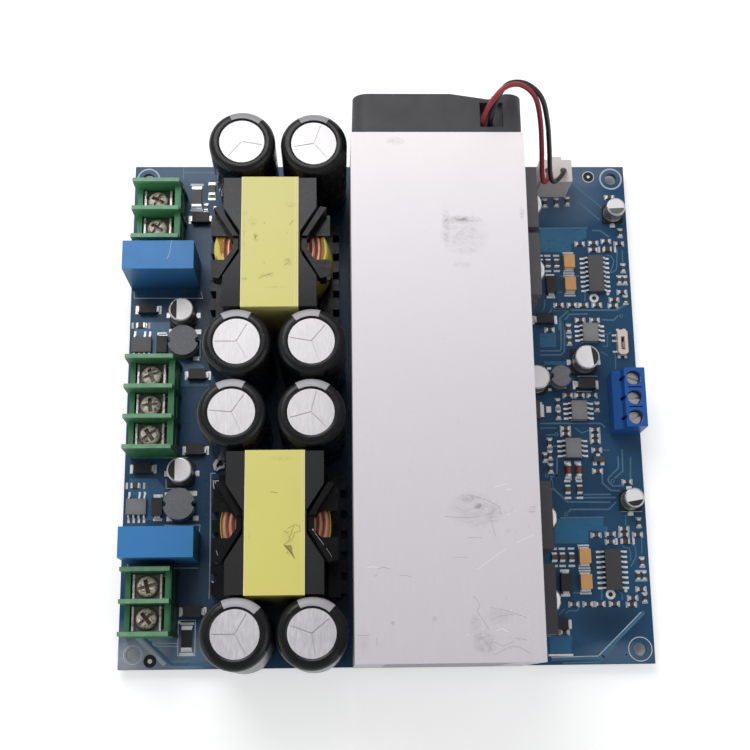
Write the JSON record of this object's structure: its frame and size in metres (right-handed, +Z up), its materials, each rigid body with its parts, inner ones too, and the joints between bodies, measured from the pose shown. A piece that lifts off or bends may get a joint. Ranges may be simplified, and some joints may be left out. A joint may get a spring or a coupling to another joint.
{
  "type": "class d amplifier",
  "caption": "Two-channel switching audio amplifier on a square blue circuit board, with a tunnel heatsink and fan down the middle, upright capacitors, inductors and screw terminals.",
  "frame": {"origin": "centre of the pattern of the four mounting holes, on the underside of the circuit board", "axes": "+X towards the audio input edge, +Y towards the fan end, +Z up from the board"},
  "size_m": [0.13, 0.1335, 0.0514],
  "materials": {
    "board_blue": "blue solder mask, glossy",
    "solder": "bright solder",
    "milled_aluminium": "milled, lightly scuffed",
    "steel_screws": "nickel plated",
    "fan_black": "fine grain",
    "bearing_brass": "sintered",
    "stator_copper": "enamelled",
    "rotor_black": "fine grain",
    "magnet_grey": "bonded magnet",
    "shaft_steel": "ground",
    "fan_screw_black": "blackened",
    "wire_red": "soft vinyl",
    "wire_black": "soft vinyl",
    "plug_white": "milky nylon",
    "header_white": "milky nylon",
    "tinned": "tinned",
    "can_aluminium": "bright",
    "sleeve_black": "shrink sleeve",
    "film_blue": "glossy case",
    "ferrite": "ground ferrite",
    "bobbin_black": "phenolic",
    "winding_copper": "enamelled wire",
    "winding_tape": "polyester tape",
    "core_tape": "polyester tape",
    "terminal_green": "moulded",
    "contact_plate": "tinned brass",
    "clamp_plate": "nickel plated",
    "terminal_screws": "nickel plated",
    "input_blue": "moulded",
    "input_screws": "nickel plated",
    "transistor_black": "moulded epoxy",
    "pad_grey": "insulating pad",
    "chip_black": "moulded epoxy",
    "tantalum_ochre": "moulded epoxy",
    "small_can": "bright",
    "base_black": "moulded",
    "drum_grey": "ferrite",
    "resistor_black": "glazed",
    "diode_black": "moulded epoxy",
    "glass_amber": "glass",
    "chip_body": "glazed",
    "chip_end": "tinned",
    "switch_cream": "moulded",
    "knob_brown": "moulded"
  },
  "bodies": {
    "amplifier": {"circuit_board": "board_blue", "solder_joints": "solder", "heatsink": "milled_aluminium", "heatsink_screws": "steel_screws", "fan_frame": "fan_black", "fan_bearing": "bearing_brass", "fan_stator": "stator_copper", "fan_screws": "fan_screw_black", "fan_lead_red": "wire_red", "fan_lead_black": "wire_black", "fan_plug": "plug_white", "fan_header": "header_white", "fan_contacts": "tinned", "storage_capacitors": "can_aluminium", "capacitor_sleeves": "sleeve_black", "film_capacitors": "film_blue", "capacitor_leads": "tinned", "inductor_cores": "ferrite", "inductor_bobbins": "bobbin_black", "inductor_windings": "winding_copper", "winding_tapes": "winding_tape", "core_tapes": "core_tape", "inductor_pins": "tinned", "rear_output_terminal": "terminal_green", "supply_terminal": "terminal_green", "front_output_terminal": "terminal_green", "terminal_contacts": "contact_plate", "terminal_clamps": "clamp_plate", "input_terminal": "input_blue", "input_cages": "contact_plate", "power_transistors": "transistor_black", "transistor_leads": "tinned", "transistor_pads": "pad_grey", "transistor_screws": "steel_screws", "chip_bodies": "chip_black", "chip_leads": "tinned", "tantalum_capacitors": "tantalum_ochre", "small_can_capacitors": "small_can", "small_can_bases": "base_black", "small_inductors": "drum_grey", "power_resistors": "resistor_black", "diodes": "diode_black", "glass_diodes": "glass_amber", "small_chips": "chip_body", "end_caps": "chip_end", "switch_body": "switch_cream"},
    "fan_rotor_group": {"fan_rotor": "rotor_black", "fan_magnet": "magnet_grey", "fan_shaft": "shaft_steel"},
    "switch_slider": {"switch_knob": "knob_brown"},
    "terminal_screw_body_1": {"terminal_screw_1": "terminal_screws"},
    "terminal_screw_body_2": {"terminal_screw_2": "terminal_screws"},
    "terminal_screw_body_3": {"terminal_screw_3": "terminal_screws"},
    "terminal_screw_body_4": {"terminal_screw_4": "terminal_screws"},
    "terminal_screw_body_5": {"terminal_screw_5": "terminal_screws"},
    "terminal_screw_body_6": {"terminal_screw_6": "terminal_screws"},
    "terminal_screw_body_7": {"terminal_screw_7": "terminal_screws"},
    "input_screw_body_1": {"input_screw_1": "input_screws"},
    "input_screw_body_2": {"input_screw_2": "input_screws"},
    "input_screw_body_3": {"input_screw_3": "input_screws"}
  },
  "joints": [
    {"name": "fan_spin", "type": "hinge", "parent": "amplifier", "child": "fan_rotor_group", "pos_m": [0.012, 0.0608, 0.0221], "axis": [0, 1, 0], "continuous": true},
    {"name": "switch_slide", "type": "slide", "parent": "amplifier", "child": "switch_slider", "axis": [0, 1, 0], "range_m": [0, 0.0015]},
    {"name": "terminal_screw_turn_1", "type": "hinge", "parent": "amplifier", "child": "terminal_screw_body_1", "pos_m": [-0.0577, 0.05225, 0.008], "axis": [0, 0, 1], "continuous": true},
    {"name": "terminal_screw_turn_2", "type": "hinge", "parent": "amplifier", "child": "terminal_screw_body_2", "pos_m": [-0.0577, 0.04475, 0.008], "axis": [0, 0, 1], "continuous": true},
    {"name": "terminal_screw_turn_3", "type": "hinge", "parent": "amplifier", "child": "terminal_screw_body_3", "pos_m": [-0.058, 0.0059, 0.008], "axis": [0, 0, 1], "continuous": true},
    {"name": "terminal_screw_turn_4", "type": "hinge", "parent": "amplifier", "child": "terminal_screw_body_4", "pos_m": [-0.058, -0.0016, 0.008], "axis": [0, 0, 1], "continuous": true},
    {"name": "terminal_screw_turn_5", "type": "hinge", "parent": "amplifier", "child": "terminal_screw_body_5", "pos_m": [-0.058, -0.0091, 0.008], "axis": [0, 0, 1], "continuous": true},
    {"name": "terminal_screw_turn_6", "type": "hinge", "parent": "amplifier", "child": "terminal_screw_body_6", "pos_m": [-0.0574, -0.04585, 0.008], "axis": [0, 0, 1], "continuous": true},
    {"name": "terminal_screw_turn_7", "type": "hinge", "parent": "amplifier", "child": "terminal_screw_body_7", "pos_m": [-0.0574, -0.05335, 0.008], "axis": [0, 0, 1], "continuous": true},
    {"name": "input_screw_turn_1", "type": "hinge", "parent": "amplifier", "child": "input_screw_body_1", "pos_m": [0.0618, 0.0043, 0.008], "axis": [0, 0, 1], "continuous": true},
    {"name": "input_screw_turn_2", "type": "hinge", "parent": "amplifier", "child": "input_screw_body_2", "pos_m": [0.0618, -0.0007, 0.008], "axis": [0, 0, 1], "continuous": true},
    {"name": "input_screw_turn_3", "type": "hinge", "parent": "amplifier", "child": "input_screw_body_3", "pos_m": [0.0618, -0.0057, 0.008], "axis": [0, 0, 1], "continuous": true}
  ]
}
